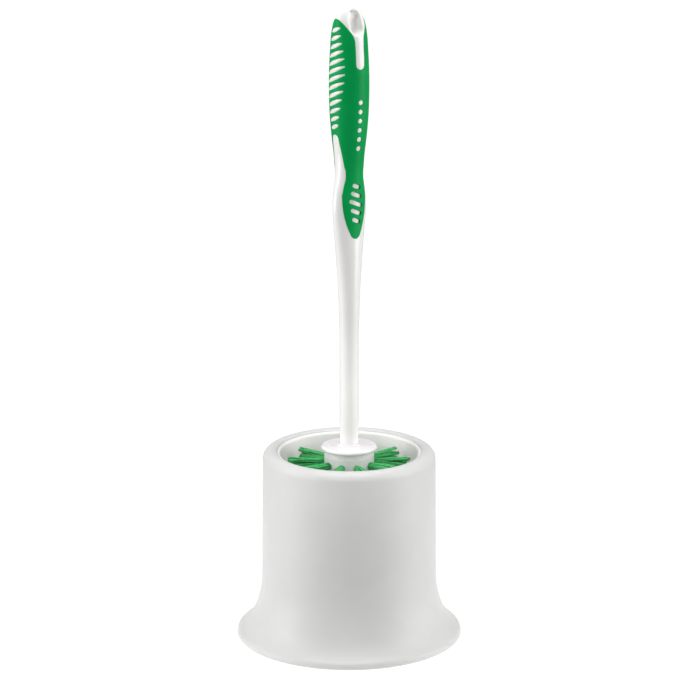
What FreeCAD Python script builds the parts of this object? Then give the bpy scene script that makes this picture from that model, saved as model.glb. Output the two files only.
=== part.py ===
import FreeCAD, Part

import os
import re
from math import atan2, pi

import Sketcher

# Toilet brush in its bell-shaped caddy, in millimetres, +Z up.
# The origin is on the floor, at the centre of the caddy's base.
# The handle's front faces -Y.

Vector = FreeCAD.Vector
Rotation = FreeCAD.Rotation
Placement = FreeCAD.Placement

DIMENSIONS = {
    # caddy shell: a bell skirt with a rolled rim
    "base_radius": 75,
    "flare_edge_slope": 54.9,
    "flare_middle_slope": 21.2,
    "flare_lower_curve": 30.3,
    "flare_upper_curve": 66.25,
    "wall_foot_radius": 58.1,
    "wall_foot_height": 42,
    "wall_top_radius": 57.2,
    "wall_top_height": 121,
    "rim_outer_curve": 6,
    "rim_inner_curve": 8,
    "rim_crest_radius": 51.2,
    "caddy_height": 127,
    "shell_wall": 2.2,
    "collar_radius": 47.4,
    "collar_rim_height": 126,
    "collar_foot_height": 112,
    "ledge_radius": 46.7,
    "ledge_thickness": 2.2,
    # drip cup: the inner cup that hangs in the collar
    "cup_mouth_radius": 45.6,
    "cup_lip_height": 125.7,
    "cup_lip_foot": 123.9,
    "cup_lip_curve": 2.2,
    "cup_neck_radius": 46.6,
    "cup_floor_height": 24,
    "cup_floor_radius": 43.2,
    "cup_corner": 5,
    "cup_wall": 1.8,
    # brush head core: cap disc, neck, tufted barrel and dome
    "disc_radius": 18.4,
    "disc_top": 130,
    "disc_foot": 127.4,
    "disc_round": 0.9,
    "boss_radius": 7.4,
    "boss_height": 1.3,
    "boss_fillet": 1.1,
    "neck_radius": 14.2,
    "neck_foot": 125.6,
    "core_radius": 16.5,
    "core_shoulder": 123.6,
    "core_foot": 62,
    "core_dome_flat": 6,
    "core_end": 51.5,
    "core_dome_curve": 10.5,
    "socket_step": 126,
    # tufts
    "tuft_count": 10,
    "end_tuft_count": 6,
    "ring_count": 6,
    "first_ring_height": 118.2,
    "ring_pitch": 10.7,
    "tuft_hole_radius": 2.3,
    "tuft_hole_depth": 6,
    "tuft_root_radius": 2.2,
    "tuft_tip_radius": 4.8,
    "tuft_reach": 39.6,
    "tuft_rise": 1.5,
    "end_tuft_slope": 45,
    "end_tuft_start": 13.4,
    "end_tuft_height": 54.6,
    "end_tuft_length": 25,
    "end_tuft_tip": 4.2,
    "centre_tuft_tip": 3.6,
    "tip_clearance": 0.4,
    "anchor_width": 4.2,
    "anchor_depth": 1.4,
    "anchor_thickness": 0.4,
    # handle: shaft, spigot and grip
    "shaft_radius": 6.2,
    "shaft_top": 200,
    "shaft_section_count": 6,
    "grip_tip": 421.5,
    "spigot_radius": 5.2,
    "spigot_foot": 96,
    "bead_radius": 5.6,
    "bead_height": 104,
    "bead_curve": 1.2,
    "sleeve_thickness": 1.8,
    # grip sleeve outlines
    "leaf_tip_height": 270.3,
    "leaf_tip_curve": 4.5,
    "leaf_side_curve": 56,
    "leaf_upper_curve": 60,
    "leaf_neck_curve": 12,
    "leaf_side_foot": 272.6,
    "leaf_side_foot_half_width": 3.5,
    "leaf_wide_height": 296,
    "leaf_half_width": 9.2,
    "leaf_neck_height": 309.5,
    "leaf_neck_half_width": 8.3,
    "leaf_top_height": 314.4,
    "leaf_top_half_width": 8.7,
    "window_top": 338.8,
    "window_top_half_width": 2.9,
    "window_shoulder": 336.4,
    "window_foot_half_width": 5.4,
    "arch_foot": 398,
    "arch_half_width": 11.5,
    "arch_shoulder": 411.6,
    "arch_shoulder_half_width": 3.5,
    "arch_side_curve": 24,
    "arch_peak_curve": 5,
    "tongue_half_width": 3.1,
    "tongue_foot": 381.2,
    "rib_count": 13,
    "rib_first_height": 406,
    "rib_pitch": 5.17,
    "rib_slope": 22,
    "rib_half_thickness": 1.25,
    "rib_shortest": 3.0,
    "rib_swell": 6.0,
    "slot_count": 5,
    "slot_first_height": 304.8,
    "slot_pitch": 5.6,
    "slot_half_width": 1.4,
    "slot_longest": 3.75,
    "slot_taper": 1.15,
    "slot_slope": 22.5,
    "slot_recess": 1.2,
    "recess_half_width": 6,
    "recess_foot": 279.5,
    "recess_top": 308.5,
    "dot_count": 6,
    "dot_first_height": 360,
    "dot_pitch": 6,
    "dot_radius": 1.5,
    "hang_hole_foot": 403,
    "hang_hole_top": 418.6,
    "hang_hole_radius": 4.6,
    "tool_reach": 30,
}

# Grip sections between the shaft and the tip: height, half width (X), half depth (Y).
GRIP_SECTIONS = [
    (212, 6.5, 6.4),
    (225, 7.0, 6.6),
    (238, 7.6, 6.8),
    (250, 8.6, 7.0),
    (264, 9.9, 7.2),
    (278, 11.4, 7.2),
    (291, 12.4, 7.2),
    (301, 11.5, 7.4),
    (310, 9.8, 7.9),
    (323, 9.7, 9.1),
    (336, 11.1, 10.7),
    (350, 12.2, 12.1),
    (365, 12.7, 12.6),
    (380, 12.6, 12.5),
    (392, 12.0, 11.9),
    (401, 11.5, 11.1),
    (409, 10.7, 8.8),
    (415, 9.0, 6.0),
    (419, 5.9, 3.5),
]

doc = FreeCAD.newDocument("ToiletBrush")


# ---------------------------------------------------------------- spreadsheet
def make_sheet():
    """Write the driving dimensions and the grip sections into one spreadsheet."""
    sheet = doc.addObject("Spreadsheet::Sheet", "Dimensions")
    row = 1
    for name, value in DIMENSIONS.items():
        sheet.set("A%d" % row, name)
        sheet.set("B%d" % row, str(value))
        sheet.setAlias("B%d" % row, name)
        row += 1
    for index, section in enumerate(GRIP_SECTIONS):
        for column, word, value in zip("BCD", ("height", "half_width", "half_depth"), section):
            sheet.set("%s%d" % (column, row), str(value))
            sheet.setAlias("%s%d" % (column, row), "section_%s_%d" % (word, index))
        row += 1
    doc.recompute()
    return sheet


sheet = make_sheet()


def with_sheet_name(match):
    word = match.group(0)
    return "Dimensions." + word if sheet.getCellFromAlias(word) else word


def bound(expression):
    """Put the sheet's name before every dimension in an expression."""
    return re.sub(r"[A-Za-z_][A-Za-z0-9_]*", with_sheet_name, expression)


def value(expression):
    """The number that an expression gives now."""
    return float(sheet.evalExpression(bound(expression)))


def bind(item, prop, expression):
    """Bind one property of an object to the sheet."""
    item.setExpression(prop, bound(expression))


# ------------------------------------------------------------------- sketches
def origin_feature(body, role):
    return next(item for item in body.Origin.OriginFeatures if item.Role == role)


def body_sketch(body, name, role="XZ_Plane", turn=0):
    """A sketch on one of the body's own planes, turned about the body's Z axis."""
    sketch = body.newObject("Sketcher::SketchObject", name)
    sketch.AttachmentSupport = [(origin_feature(body, role), "")]
    sketch.MapMode = "FlatFace"
    if turn:
        sketch.AttachmentOffset = Placement(Vector(), Rotation(Vector(0, 1, 0), turn))
    return sketch


def free_sketch(name, turn):
    """A sketch that stands upright by itself, for a cutting tool."""
    sketch = doc.addObject("Sketcher::SketchObject", name)
    sketch.Placement = Placement(Vector(), turn)
    return sketch


FACING_FRONT = Rotation(Vector(1, 0, 0), 90)
FACING_SIDE = Rotation(Vector(1, 1, 1), 120)


def hold_point(sketch, item, place, x, y):
    """Fix one point of a sketch to two expressions, or to the vertical axis."""
    if x == "0":
        sketch.addConstraint(Sketcher.Constraint("PointOnObject", item, place, -2))
    else:
        index = sketch.addConstraint(Sketcher.Constraint("DistanceX", -1, 1, item, place, value(x)))
        bind(sketch, "Constraints[%d]" % index, x)
    index = sketch.addConstraint(Sketcher.Constraint("DistanceY", -1, 1, item, place, value(y)))
    bind(sketch, "Constraints[%d]" % index, y)


def arc_between(start, end, radius, bulge):
    """The short arc of a radius from start to end, bulging to the right or left of its direction."""
    chord = end - start
    reach = (radius ** 2 - (chord.Length / 2) ** 2) ** 0.5
    right = Vector(chord.y, -chord.x, 0).normalize()
    if bulge == "right":
        centre = (start + end) * 0.5 - right * reach
        first, last = start - centre, end - centre
    else:
        centre = (start + end) * 0.5 + right * reach
        first, last = end - centre, start - centre
    opening = atan2(first.y, first.x)
    closing = atan2(last.y, last.x)
    if closing < opening:
        closing += 2 * pi
    return Part.ArcOfCircle(Part.Circle(centre, Vector(0, 0, 1), radius), opening, closing)


def outline(sketch, points):
    """A closed outline. Each point is (x, y), or (x, y, radius, bulge side) for an arc to the next."""
    corners = [Vector(value(point[0]), value(point[1]), 0) for point in points]
    first = sketch.GeometryCount
    count = len(points)
    ends = []
    for index, point in enumerate(points):
        start = corners[index]
        end = corners[(index + 1) % count]
        if len(point) == 2:
            sketch.addGeometry(Part.LineSegment(start, end))
            ends.append((1, 2))
        else:
            sketch.addGeometry(arc_between(start, end, value(point[2]), point[3]))
            ends.append((1, 2) if point[3] == "right" else (2, 1))
    for index, point in enumerate(points):
        item = first + index
        following = (index + 1) % count
        meeting = Sketcher.Constraint(
            "Coincident", item, ends[index][1], first + following, ends[following][0])
        sketch.addConstraint(meeting)
        hold_point(sketch, item, ends[index][0], point[0], point[1])
        if len(point) > 2:
            number = sketch.addConstraint(Sketcher.Constraint("Radius", item, value(point[2])))
            bind(sketch, "Constraints[%d]" % number, point[2])


def rounded_slot(sketch, start, end, radius):
    """A slot with round ends between two centres, each given as a pair of expressions."""
    first = sketch.GeometryCount
    a = Vector(value(start[0]), value(start[1]), 0)
    b = Vector(value(end[0]), value(end[1]), 0)
    along = (b - a).normalize() * value(radius)
    side = Vector(-along.y, along.x, 0)
    sketch.addGeometry(Part.Arc(a + side, a - along, a - side))
    sketch.addGeometry(Part.LineSegment(a - side, b - side))
    sketch.addGeometry(Part.Arc(b - side, b + along, b + side))
    sketch.addGeometry(Part.LineSegment(b + side, a + side))
    for index in range(4):
        following = first + (index + 1) % 4
        sketch.addConstraint(Sketcher.Constraint("Tangent", first + index, 2, following, 1))
    sketch.addConstraint(Sketcher.Constraint("Equal", first, first + 2))
    number = sketch.addConstraint(Sketcher.Constraint("Radius", first, value(radius)))
    bind(sketch, "Constraints[%d]" % number, radius)
    hold_point(sketch, first, 3, start[0], start[1])
    hold_point(sketch, first + 2, 3, end[0], end[1])


def revolve(body, sketch, name="Turned"):
    """Turn a sketch about the body's Z axis."""
    turned = body.newObject("PartDesign::Revolution", name)
    turned.Profile = sketch
    turned.ReferenceAxis = (sketch, ["V_Axis"])
    turned.Angle = 360
    body.Tip = turned
    return turned


def round_pattern(body, feature, count, name):
    """Repeat a feature evenly about the body's Z axis."""
    pattern = body.newObject("PartDesign::PolarPattern", name)
    pattern.Originals = [feature]
    pattern.Axis = (origin_feature(body, "Z_Axis"), [""])
    pattern.Angle = 360
    pattern.Occurrences = int(value(count))
    bind(pattern, "Occurrences", count)
    body.Tip = pattern
    return pattern


# ---------------------------------------------------------------------- caddy
def flare_points(depth):
    """The flare's middle and edge points, at a depth inside the bell's outer face.

    Two arcs make the flare. The upper one leaves the wall's foot upright, the lower one carries on
    from it at the middle, and a small round edge carries on from that down to the base.
    """
    middle_turn = ("cos(flare_middle_slope)", "sin(flare_middle_slope)")
    edge_turn = ("cos(flare_edge_slope)", "sin(flare_edge_slope)")
    upper_centre = ("wall_foot_radius + flare_upper_curve", "wall_foot_height")
    middle = []
    edge = []
    for centre, along_middle, along_edge in zip(upper_centre, middle_turn, edge_turn):
        middle.append("%s - (flare_upper_curve + %s) * %s" % (centre, depth, along_middle))
        lower_centre = "%s - (flare_upper_curve - flare_lower_curve) * %s" % (centre, along_middle)
        edge.append("%s - (flare_lower_curve + %s) * %s" % (lower_centre, depth, along_edge))
    return tuple(middle), tuple(edge)


def make_caddy_shell():
    """The bell: an even wall from the base lip over the rolled rim and down the collar to its ledge."""
    body = doc.addObject("PartDesign::Body", "caddy_shell")
    middle, edge = flare_points("0")
    inner_middle, inner_edge = flare_points("shell_wall")
    lip_curve = "(base_radius - (%s)) / (1 - cos(flare_edge_slope))" % edge[0]
    lip_height = "%s - %s * sin(flare_edge_slope)" % (edge[1], lip_curve)
    rim_reach = "(rim_crest_radius - collar_radius - shell_wall)"
    rim_drop = "sqrt(pow(rim_inner_curve - shell_wall; 2) - pow(%s; 2))" % rim_reach
    rim_foot = "caddy_height - rim_inner_curve + " + rim_drop
    collar_outside = "collar_radius + shell_wall"
    ledge_foot = "collar_foot_height - ledge_thickness"
    sketch = body_sketch(body, "BellOutline")
    outline(sketch, [
        ("base_radius - shell_wall", "0"),
        ("base_radius", "0"),
        ("base_radius", lip_height, lip_curve, "right"),
        edge + ("flare_lower_curve", "left"),
        middle + ("flare_upper_curve", "left"),
        ("wall_foot_radius", "wall_foot_height"),
        ("wall_top_radius", "wall_top_height", "rim_outer_curve", "right"),
        ("rim_crest_radius", "caddy_height", "rim_inner_curve", "right"),
        ("collar_radius", "collar_rim_height"),
        ("collar_radius", "collar_foot_height"),
        ("ledge_radius", "collar_foot_height"),
        ("ledge_radius", ledge_foot),
        (collar_outside, ledge_foot),
        (collar_outside, rim_foot, "rim_inner_curve - shell_wall", "left"),
        ("rim_crest_radius", "caddy_height - shell_wall", "rim_outer_curve - shell_wall", "left"),
        ("wall_top_radius - shell_wall", "wall_top_height"),
        ("wall_foot_radius - shell_wall", "wall_foot_height", "flare_upper_curve + shell_wall", "right"),
        inner_middle + ("flare_lower_curve + shell_wall", "right"),
        inner_edge + (lip_curve + " - shell_wall", "left"),
        ("base_radius - shell_wall", lip_height),
    ])
    revolve(body, sketch)
    doc.recompute()
    return body


def make_drip_cup():
    """The inner cup: its shoulder sits on the collar's ledge and its lip ends inside the rim."""
    body = doc.addObject("PartDesign::Body", "drip_cup")
    cup = body_sketch(body, "CupOutline")
    under = "cup_floor_height - cup_wall"
    outer = "cup_floor_radius + cup_wall"
    outline(cup, [
        ("0", under),
        (outer + " - cup_corner", under, "cup_corner", "right"),
        (outer, under + " + cup_corner"),
        ("cup_neck_radius", "collar_foot_height"),
        ("collar_radius", "collar_foot_height"),
        ("collar_radius", "cup_lip_height", "cup_lip_curve", "right"),
        ("cup_mouth_radius", "cup_lip_foot"),
        ("cup_floor_radius", "cup_floor_height + cup_corner", "cup_corner", "left"),
        ("cup_floor_radius - cup_corner", "cup_floor_height"),
        ("0", "cup_floor_height"),
    ])
    revolve(body, cup)
    return body


# ----------------------------------------------------------------- brush head
def ring_turn(ring):
    """Every other ring is turned by half the angle between two tufts."""
    return 180 / value("tuft_count") if ring % 2 else 0


def ring_height(ring):
    return "first_ring_height - %d * ring_pitch" % ring


def tilted(start_out, start_up, slope, along, across):
    """A point at a distance along and across a line that rises outwards at a slope."""
    out = "%s + (%s) * cos(%s) - (%s) * sin(%s)" % (start_out, along, slope, across, slope)
    up = "%s + (%s) * sin(%s) + (%s) * cos(%s)" % (start_up, along, slope, across, slope)
    return out, up


def tilted_revolution(body, kind, name, start, slope, profile, turn):
    """Turn a half outline about its own tilted line. The outline is (along, across) pairs."""
    sketch = body_sketch(body, name + "Outline", turn=turn)
    outline(sketch, [tilted(start[0], start[1], slope, along, across) for along, across in profile])
    near = tilted(start[0], start[1], slope, profile[0][0], "0")
    far = tilted(start[0], start[1], slope, profile[-1][0], "0")
    ends = [Vector(value(point[0]), value(point[1]), 0) for point in (near, far)]
    line = sketch.addGeometry(Part.LineSegment(ends[0], ends[1]), True)
    first_edge = 0
    last_edge = len(profile) - 1
    sketch.addConstraint(Sketcher.Constraint("Coincident", line, 1, first_edge, 1))
    sketch.addConstraint(Sketcher.Constraint("Coincident", line, 2, last_edge, 1))
    turned = body.newObject("PartDesign::" + kind, name)
    turned.Profile = sketch
    turned.ReferenceAxis = (sketch, ["Axis0"])
    turned.Angle = 360
    body.Tip = turned
    return turned


HOLE_OUTLINE = [
    ("-tuft_hole_depth", "0"),
    ("-tuft_hole_depth", "tuft_hole_radius"),
    ("tuft_hole_radius", "tuft_hole_radius"),
    ("tuft_hole_radius", "0"),
]

END_START = ("end_tuft_start", "end_tuft_height")


def tuft_outline(length, tip):
    """A bundle that fills its hole, then fans out to its trimmed end."""
    return [
        ("anchor_depth - tuft_hole_depth", "0"),
        ("anchor_depth - tuft_hole_depth", "tuft_root_radius"),
        ("0", "tuft_root_radius"),
        (length, tip),
        (length, "0"),
    ]


def make_head_core():
    """The moulded core: cap disc, barrel and dome, drilled for tufts, with the handle's socket."""
    body = doc.addObject("PartDesign::Body", "head_core")
    core = body_sketch(body, "CoreOutline")
    bead_low = "bead_height - bead_curve"
    bead_high = "bead_height + bead_curve"
    outline(core, [
        ("0", "core_end"),
        ("core_dome_flat", "core_end", "core_dome_curve", "right"),
        ("core_radius", "core_foot"),
        ("core_radius", "core_shoulder", "core_radius - neck_radius", "right"),
        ("neck_radius", "neck_foot"),
        ("neck_radius", "disc_foot"),
        ("disc_radius - disc_round", "disc_foot", "disc_round", "right"),
        ("disc_radius", "disc_foot + disc_round"),
        ("disc_radius", "disc_top - disc_round", "disc_round", "right"),
        ("disc_radius - disc_round", "disc_top"),
        ("boss_radius + boss_fillet", "disc_top", "boss_fillet", "left"),
        ("boss_radius", "disc_top + boss_fillet"),
        ("boss_radius", "disc_top + boss_height"),
        ("shaft_radius", "disc_top + boss_height"),
        ("shaft_radius", "socket_step"),
        ("spigot_radius", "socket_step"),
        ("spigot_radius", bead_high),
        ("bead_radius", "bead_height"),
        ("spigot_radius", bead_low),
        ("spigot_radius", "spigot_foot"),
        ("0", "spigot_foot"),
    ])
    revolve(body, core)
    for ring in range(int(value("ring_count"))):
        start = ("core_radius", ring_height(ring))
        hole = tilted_revolution(body, "Groove", "Hole%d" % (ring + 1), start,
                                 "tuft_rise", HOLE_OUTLINE, ring_turn(ring))
        round_pattern(body, hole, "tuft_count", "Holes%d" % (ring + 1))
    hole = tilted_revolution(body, "Groove", "EndHole", END_START, "-end_tuft_slope", HOLE_OUTLINE, 0)
    round_pattern(body, hole, "end_tuft_count", "EndHoles")
    centre = body_sketch(body, "CentreHoleOutline")
    outline(centre, [
        ("0", "core_end - tuft_hole_radius"),
        ("tuft_hole_radius", "core_end - tuft_hole_radius"),
        ("tuft_hole_radius", "core_end + tuft_hole_depth"),
        ("0", "core_end + tuft_hole_depth"),
    ])
    groove = body.newObject("PartDesign::Groove", "CentreHole")
    groove.Profile = centre
    groove.ReferenceAxis = (centre, ["V_Axis"])
    groove.Angle = 360
    body.Tip = groove
    return body


def make_tuft_ring(ring):
    """One ring of tufts, all alike, as a group of separate bundles."""
    body = doc.addObject("PartDesign::Body", "tufts_ring_%d" % (ring + 1))
    body.AllowCompound = True
    profile = tuft_outline("(tuft_reach - core_radius) / cos(tuft_rise)", "tuft_tip_radius")
    tuft = tilted_revolution(body, "Revolution", "Tuft", ("core_radius", ring_height(ring)),
                             "tuft_rise", profile, ring_turn(ring))
    round_pattern(body, tuft, "tuft_count", "Ring")
    return body


def make_end_tufts():
    """The ring of tufts that slopes down and out of the dome."""
    body = doc.addObject("PartDesign::Body", "tufts_end_ring")
    body.AllowCompound = True
    profile = tuft_outline("end_tuft_length", "end_tuft_tip")
    tuft = tilted_revolution(body, "Revolution", "Tuft", END_START, "-end_tuft_slope", profile, 0)
    round_pattern(body, tuft, "end_tuft_count", "Ring")
    return body


def make_centre_tuft():
    """The tuft that points straight down and carries the brush on the cup's floor."""
    body = doc.addObject("PartDesign::Body", "tuft_centre")
    sketch = body_sketch(body, "TuftOutline")
    outline(sketch, [
        ("0", "cup_floor_height + tip_clearance"),
        ("centre_tuft_tip", "cup_floor_height + tip_clearance"),
        ("tuft_root_radius", "core_end"),
        ("tuft_root_radius", "core_end + tuft_hole_depth - anchor_depth"),
        ("0", "core_end + tuft_hole_depth - anchor_depth"),
    ])
    revolve(body, sketch)
    return body


def add_anchor(name, distance, height, slope, turn):
    """A flat metal anchor at the bottom of one tuft hole."""
    anchor = doc.addObject("Part::Box", name)
    bind(anchor, "Length", "anchor_depth")
    bind(anchor, "Width", "anchor_width")
    bind(anchor, "Height", "anchor_thickness")
    tilt = Rotation(Vector(0, 1, 0), -value(slope))
    swing = Rotation(Vector(0, 0, 1), turn)
    corner = Vector(-value("tuft_hole_depth"), -value("anchor_width") / 2, -value("anchor_thickness") / 2)
    start = Vector(value(distance), 0, value(height))
    anchor.Placement = Placement(swing.multVec(start + tilt.multVec(corner)), swing.multiply(tilt))
    return anchor


def make_anchors():
    """All the anchors, which are alike, as one group of separate pieces."""
    anchors = []
    count = int(value("tuft_count"))
    for ring in range(int(value("ring_count"))):
        for index in range(count):
            turn = ring_turn(ring) + 360 * index / count
            name = "Anchor_%d_%d" % (ring + 1, index + 1)
            anchors.append(add_anchor(name, "core_radius", ring_height(ring), "tuft_rise", turn))
    end_count = int(value("end_tuft_count"))
    for index in range(end_count):
        name = "EndAnchor_%d" % (index + 1)
        turn = 360 * index / end_count
        anchors.append(add_anchor(name, END_START[0], END_START[1], "-end_tuft_slope", turn))
    anchors.append(add_anchor("CentreAnchor", "0", "core_end", "-90", 0))
    group = doc.addObject("Part::Compound", "tuft_anchors")
    group.Links = anchors
    return group


# --------------------------------------------------------------------- handle
def add_section(name, height, half_width, half_depth, inset):
    """One elliptical section of the handle, inset all round."""
    section = doc.addObject("Part::Ellipse", name)
    bind(section, "MajorRadius", "%s - %s" % (half_width, inset))
    bind(section, "MinorRadius", "%s - %s" % (half_depth, inset))
    bind(section, "Placement.Base.z", height)
    return section


def make_handle_form(name, inset):
    """The whole outside of the shaft and grip as one smooth loft, inset all round."""
    sections = []
    count = int(value("shaft_section_count"))
    for index in range(count + 1):
        height = "disc_top + (shaft_top - disc_top) * %d / %d" % (index, count)
        label = "%sShaft%d" % (name, index)
        sections.append(add_section(label, height, "shaft_radius", "shaft_radius", inset))
    for index in range(len(GRIP_SECTIONS)):
        words = ["section_%s_%d" % (word, index) for word in ("height", "half_width", "half_depth")]
        sections.append(add_section("%sGrip%d" % (name, index), words[0], words[1], words[2], inset))
    tip = doc.addObject("Part::Vertex", name + "Tip")
    bind(tip, "Z", "grip_tip - " + inset)
    sections.append(tip)
    form = doc.addObject("Part::Loft", name)
    form.Sections = sections
    form.Solid = True
    form.Ruled = False
    return form


def prism(name, sketch):
    """A cutting tool: a sketch pushed through the whole grip."""
    tool = doc.addObject("Part::Extrusion", name)
    tool.Base = sketch
    tool.DirMode = "Normal"
    tool.Solid = True
    tool.Symmetric = True
    bind(tool, "LengthFwd", "2 * tool_reach")
    return tool


def combine(kind, name, base, tool):
    result = doc.addObject("Part::" + kind, name)
    result.Base = base
    result.Tool = tool
    return result


def join(name, shapes):
    result = doc.addObject("Part::MultiFuse", name)
    result.Shapes = shapes
    return result


def leaf_prism():
    """Seen from the front: the leaf panel, and everything above it."""
    sketch = free_sketch("LeafOutline", FACING_FRONT)
    outline(sketch, [
        ("0", "leaf_tip_height", "leaf_tip_curve", "right"),
        ("leaf_side_foot_half_width", "leaf_side_foot", "leaf_side_curve", "right"),
        ("leaf_half_width", "leaf_wide_height", "leaf_upper_curve", "right"),
        ("leaf_neck_half_width", "leaf_neck_height", "leaf_neck_curve", "left"),
        ("leaf_top_half_width", "leaf_top_height"),
        ("tool_reach", "leaf_top_height"),
        ("tool_reach", "grip_tip"),
        ("-tool_reach", "grip_tip"),
        ("-tool_reach", "leaf_top_height"),
        ("-leaf_top_half_width", "leaf_top_height", "leaf_neck_curve", "left"),
        ("-leaf_neck_half_width", "leaf_neck_height", "leaf_upper_curve", "right"),
        ("-leaf_half_width", "leaf_wide_height", "leaf_side_curve", "right"),
        ("-leaf_side_foot_half_width", "leaf_side_foot", "leaf_tip_curve", "right"),
    ])
    return prism("LeafPrism", sketch)


def window_prism():
    """Seen from the side: the open-bottomed window where the core shows."""
    top_rise = "(window_top - window_shoulder)"
    top_curve = "(pow(window_top_half_width; 2) + pow(%s; 2)) / (2 * %s)" % (top_rise, top_rise)
    sketch = free_sketch("WindowOutline", FACING_SIDE)
    outline(sketch, [
        ("-window_foot_half_width", "leaf_tip_height"),
        ("window_foot_half_width", "leaf_tip_height"),
        ("window_foot_half_width", "leaf_top_height"),
        ("window_top_half_width", "window_shoulder", top_curve, "right"),
        ("-window_top_half_width", "window_shoulder"),
        ("-window_foot_half_width", "leaf_top_height"),
    ])
    return prism("WindowPrism", sketch)


def arch_prism():
    """Seen from the side: everything above the sleeve's arched top edge."""
    sketch = free_sketch("ArchOutline", FACING_SIDE)
    outline(sketch, [
        ("-tool_reach", "arch_foot"),
        ("-arch_half_width", "arch_foot", "arch_side_curve", "left"),
        ("-arch_shoulder_half_width", "arch_shoulder", "arch_peak_curve", "left"),
        ("arch_shoulder_half_width", "arch_shoulder", "arch_side_curve", "left"),
        ("arch_half_width", "arch_foot"),
        ("tool_reach", "arch_foot"),
        ("tool_reach", "grip_tip + tool_reach"),
        ("-tool_reach", "grip_tip + tool_reach"),
    ])
    return prism("ArchPrism", sketch)


def tongue_prism():
    """Seen from the front: the tongue of core that runs down from the hang hole."""
    sketch = free_sketch("TongueOutline", FACING_FRONT)
    foot = "tongue_foot + tongue_half_width"
    rounded_slot(sketch, ("0", foot), ("0", "grip_tip"), "tongue_half_width")
    return prism("TonguePrism", sketch)


def rib_prism():
    """Seen from the side: the slanted, lens-shaped grip ribs, longest in the middle."""
    sketch = free_sketch("RibOutline", FACING_SIDE)
    for index in range(int(value("rib_count"))):
        share = "pow(sin(180 * (%d + 0.35) / (rib_count - 0.6)); 1.5)" % index
        half = "(rib_shortest + rib_swell * %s)" % share
        height = "rib_first_height - %d * rib_pitch" % index
        curve = "(pow(%s; 2) + pow(rib_half_thickness; 2)) / (2 * rib_half_thickness)" % half
        high = ("-" + half + " * cos(rib_slope)", height + " + " + half + " * sin(rib_slope)")
        low = (half + " * cos(rib_slope)", height + " - " + half + " * sin(rib_slope)")
        outline(sketch, [high + (curve, "right"), low + (curve, "right")])
    return prism("RibPrism", sketch)


def slot_prism():
    """Seen from the front: the slanted slots in the leaf panel."""
    sketch = free_sketch("SlotOutline", FACING_FRONT)
    for index in range(int(value("slot_count"))):
        half = "(slot_longest - slot_taper * abs(%d - (slot_count - 1) / 2))" % index
        height = "slot_first_height - %d * slot_pitch" % index
        left = ("-" + half + " * cos(slot_slope)", height + " + " + half + " * sin(slot_slope)")
        right = (half + " * cos(slot_slope)", height + " - " + half + " * sin(slot_slope)")
        rounded_slot(sketch, left, right, "slot_half_width")
    return prism("SlotPrism", sketch)


def dot_prism():
    """Seen from the front: the column of round dots above the leaf panel."""
    sketch = free_sketch("DotOutline", FACING_FRONT)
    for index in range(int(value("dot_count"))):
        height = "dot_first_height - %d * dot_pitch" % index
        centre = Vector(0, value(height), 0)
        circle = sketch.addGeometry(Part.Circle(centre, Vector(0, 0, 1), value("dot_radius")))
        hold_point(sketch, circle, 3, "0", height)
        number = sketch.addConstraint(Sketcher.Constraint("Radius", circle, value("dot_radius")))
        bind(sketch, "Constraints[%d]" % number, "dot_radius")
    return prism("DotPrism", sketch)


def hang_hole_prism():
    """The oval hole, front to back, that the brush can hang by."""
    sketch = free_sketch("HangHoleOutline", FACING_FRONT)
    low = ("0", "hang_hole_foot + hang_hole_radius")
    high = ("0", "hang_hole_top - hang_hole_radius")
    rounded_slot(sketch, low, high, "hang_hole_radius")
    return prism("HangHolePrism", sketch)


def make_spigot():
    """The stepped end of the shaft, with the snap bead that locks it in the head."""
    body = doc.addObject("PartDesign::Body", "Spigot")
    sketch = body_sketch(body, "SpigotOutline")
    outline(sketch, [
        ("0", "spigot_foot"),
        ("spigot_radius", "spigot_foot"),
        ("spigot_radius", "bead_height - bead_curve"),
        ("bead_radius", "bead_height"),
        ("spigot_radius", "bead_height + bead_curve"),
        ("spigot_radius", "socket_step"),
        ("shaft_radius", "socket_step"),
        ("shaft_radius", "disc_top"),
        ("0", "disc_top"),
    ])
    revolve(body, sketch)
    return body


def recess_tool():
    """Everything outside the floor of the leaf's slots, at the leaf panel only."""
    block = doc.addObject("Part::Box", "RecessBlock")
    bind(block, "Length", "2 * recess_half_width")
    bind(block, "Width", "2 * tool_reach")
    bind(block, "Height", "recess_top - recess_foot")
    bind(block, "Placement.Base.x", "-recess_half_width")
    bind(block, "Placement.Base.y", "-tool_reach")
    bind(block, "Placement.Base.z", "recess_foot")
    return combine("Cut", "SlotRecess", block, make_handle_form("RecessFloor", "slot_recess"))


def make_grip():
    """The hard handle, and the rubber sleeve that fills the space moulded around it."""
    outside = make_handle_form("HandleForm", "0")
    inside = make_handle_form("SleeveInside", "sleeve_thickness")
    tools = [inside, window_prism(), arch_prism(), tongue_prism()]
    tools += [rib_prism(), slot_prism(), dot_prism()]
    space = combine("Cut", "SleeveSpace", leaf_prism(), join("SleeveOpenings", tools))
    sleeve = combine("Common", "grip_sleeve", outside, space)
    grip = combine("Cut", "GripCore", outside, space)
    grip = combine("Cut", "RecessedCore", grip, recess_tool())
    grip = combine("Cut", "PiercedCore", grip, hang_hole_prism())
    return sleeve, join("handle", [grip, make_spigot()])


# ---------------------------------------------------------------------- build
def check(item):
    """Stop if an object failed or its shape isn't sound."""
    if "Invalid" in item.State or "Error" in item.State:
        raise RuntimeError("%s failed: %s" % (item.Name, item.State))
    if item.isDerivedFrom("Sketcher::SketchObject") and not item.FullyConstrained:
        raise RuntimeError("%s isn't fully constrained" % item.Name)


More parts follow.
